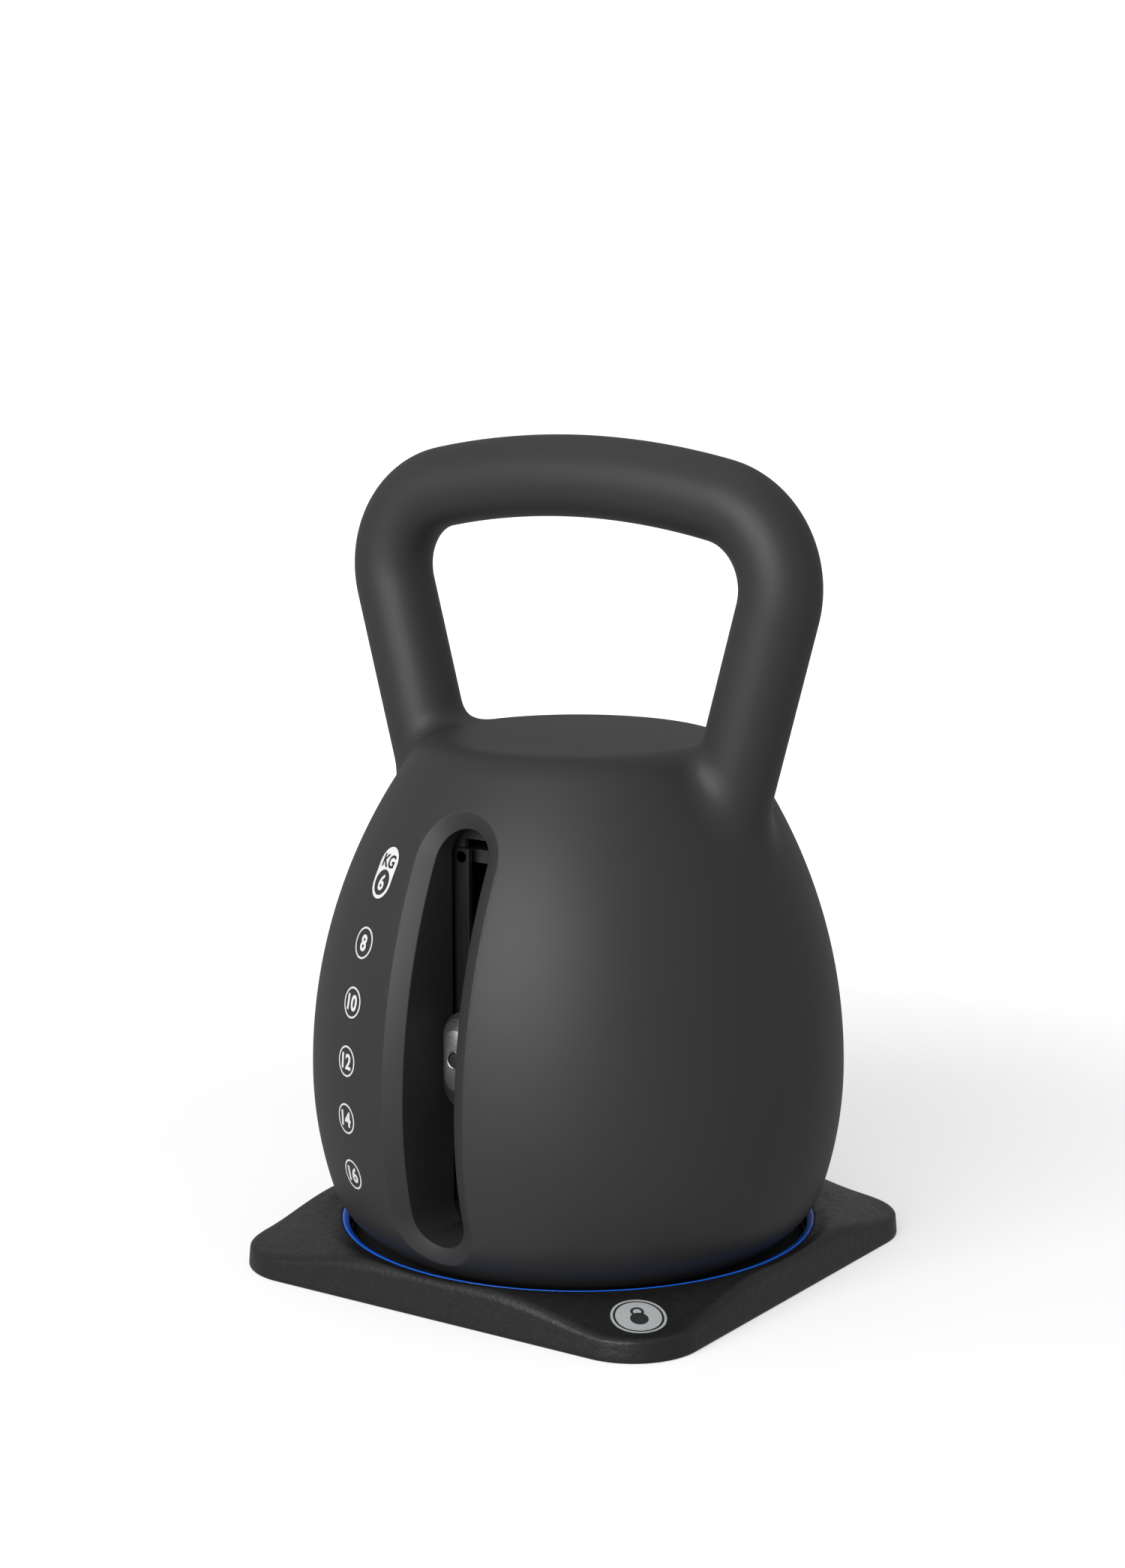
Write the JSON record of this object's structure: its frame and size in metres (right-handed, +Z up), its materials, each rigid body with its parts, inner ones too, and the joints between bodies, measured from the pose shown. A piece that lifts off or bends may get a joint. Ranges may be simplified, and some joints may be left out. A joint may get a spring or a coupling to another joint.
{
  "type": "adjustable kettlebell",
  "caption": "Adjustable kettlebell on a square docking tray: a sliding selector in a front slot locks a stack of iron plates inside the hollow bell, under an arched grip.",
  "frame": {"origin": "centre of the tray's underside, on the floor", "axes": "+Z up, the selector slot faces -Y, the handle spans X"},
  "size_m": [0.25, 0.2471, 0.3839],
  "materials": {
    "shell_plastic": "soft-touch matt charcoal",
    "tray_plastic": "fine grained black",
    "inner_plastic": "matt black",
    "accent_blue": "vivid blue, semi-gloss",
    "rubber": "matt",
    "badge_metal": "satin dark grey",
    "steel": "zinc plated",
    "knob_metal": "satin",
    "bright_metal": "polished",
    "button_black": "textured",
    "iron": "black painted",
    "filler": "cast polymer filler"
  },
  "bodies": {
    "tray": {"tray_base": "tray_plastic", "accent_ring": "accent_blue", "seat_pad": "rubber", "tray_feet": "rubber", "tray_badge": "badge_metal", "plate_pedestal": "inner_plastic", "pedestal_screws": "steel"},
    "plate_16": {"plate_16kg": "iron"},
    "plate_14": {"plate_14kg": "iron"},
    "plate_12": {"plate_12kg": "iron"},
    "plate_10": {"plate_10kg": "iron"},
    "plate_8": {"plate_8kg": "iron"},
    "bell": {"outer_shell": "shell_plastic", "handle_rod": "steel", "top_frame": "steel", "frame_bolts": "steel", "mouth_collar": "inner_plastic", "plate_sleeve": "inner_plastic", "ballast_left": "filler", "ballast_right": "filler", "slot_channel": "inner_plastic", "guide_rail_left": "steel", "guide_rail_right": "steel", "rail_screws": "steel", "notch_strip": "steel", "stack_damper": "rubber"},
    "selector": {"selector_carriage": "inner_plastic", "selector_knob": "knob_metal", "knob_screws": "steel", "button_bezel": "bright_metal", "button_spring": "steel", "lever_pin": "steel", "detent_ball": "steel", "detent_spring": "steel"},
    "button": {"release_button": "button_black"},
    "lever": {"rocker_lever": "steel"},
    "tongue": {"lock_tongue": "steel"}
  },
  "joints": [
    {"name": "lift_16kg", "type": "slide", "parent": "tray", "child": "plate_16", "axis": [0, 0, 1], "range_m": [0, 0.049]},
    {"name": "lift_14kg", "type": "slide", "parent": "plate_16", "child": "plate_14", "axis": [0, 0, 1], "range_m": [0, 0.076]},
    {"name": "lift_12kg", "type": "slide", "parent": "plate_14", "child": "plate_12", "axis": [0, 0, 1], "range_m": [0, 0.102]},
    {"name": "lift_10kg", "type": "slide", "parent": "plate_12", "child": "plate_10", "axis": [0, 0, 1], "range_m": [0, 0.129]},
    {"name": "lift_8kg", "type": "slide", "parent": "plate_10", "child": "plate_8", "axis": [0, 0, 1], "range_m": [0, 0.155]},
    {"name": "lift_6kg", "type": "slide", "parent": "plate_8", "child": "bell", "axis": [0, 0, 1], "range_m": [0, 0.182]},
    {"name": "select_weight", "type": "slide", "parent": "bell", "child": "selector", "axis": [0, 0, 1], "range_m": [-0.053, 0.0795]},
    {"name": "press_button", "type": "slide", "parent": "selector", "child": "button", "axis": [0, -1, 0], "range_m": [0, 0.005]},
    {"name": "rock_lever", "type": "hinge", "parent": "selector", "child": "lever", "pos_m": [0, -0.079, 0.1063], "axis": [1, 0, 0], "range_deg": [0, 42]},
    {"name": "slide_tongue", "type": "slide", "parent": "selector", "child": "tongue", "axis": [0, 1, 0], "range_m": [0, 0.0093]}
  ],
  "couplings": [
    {"joint": "rock_lever", "follows": "press_button", "rad_per_m": 146.05},
    {"joint": "slide_tongue", "follows": "press_button", "ratio": 1.857}
  ]
}
